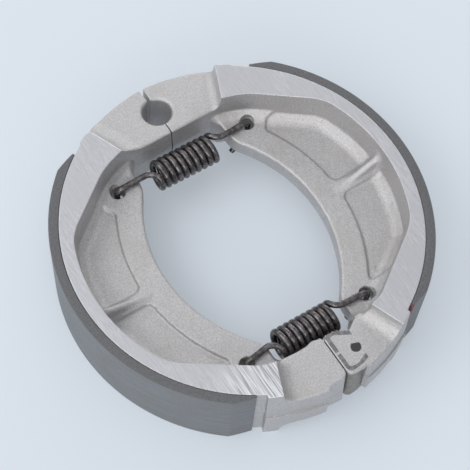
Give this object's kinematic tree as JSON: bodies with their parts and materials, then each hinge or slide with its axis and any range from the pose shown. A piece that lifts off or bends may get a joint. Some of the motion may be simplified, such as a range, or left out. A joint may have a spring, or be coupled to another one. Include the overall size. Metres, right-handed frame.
{
  "type": "drum brake shoe pair",
  "caption": "Pair of cast drum brake shoes with bonded linings, pivoting on a shared anchor bore and drawn together by coil springs.",
  "frame": {"origin": "on the axis of the anchor bore, halfway across the width of the shoes", "axes": "+Z along the drum's axis, +Y from the cam end to the anchor end, +X from the left shoe to the right one"},
  "size_m": [0.106, 0.1073, 0.025],
  "materials": {
    "casting": "satin as-cast, with machined rim faces",
    "lining": "ground friction material, dark grey with light specks",
    "plate": "dull steel",
    "spring": "dark oiled spring steel"
  },
  "bodies": {
    "left": {"left_shoe": "casting", "left_lining": "lining", "anchor_spring": "spring", "cam_spring": "spring"},
    "right": {"right_shoe": "casting", "right_lining": "lining", "cam_plate": "plate"}
  },
  "joints": [
    {"name": "anchor_pivot", "type": "hinge", "parent": "left", "child": "right", "pos_m": [0, 0, 0], "axis": [0, 0, 1], "range_deg": [0, 6], "stiffness_Nm_per_rad": 12, "deforming": ["anchor_spring", "cam_spring"]}
  ]
}
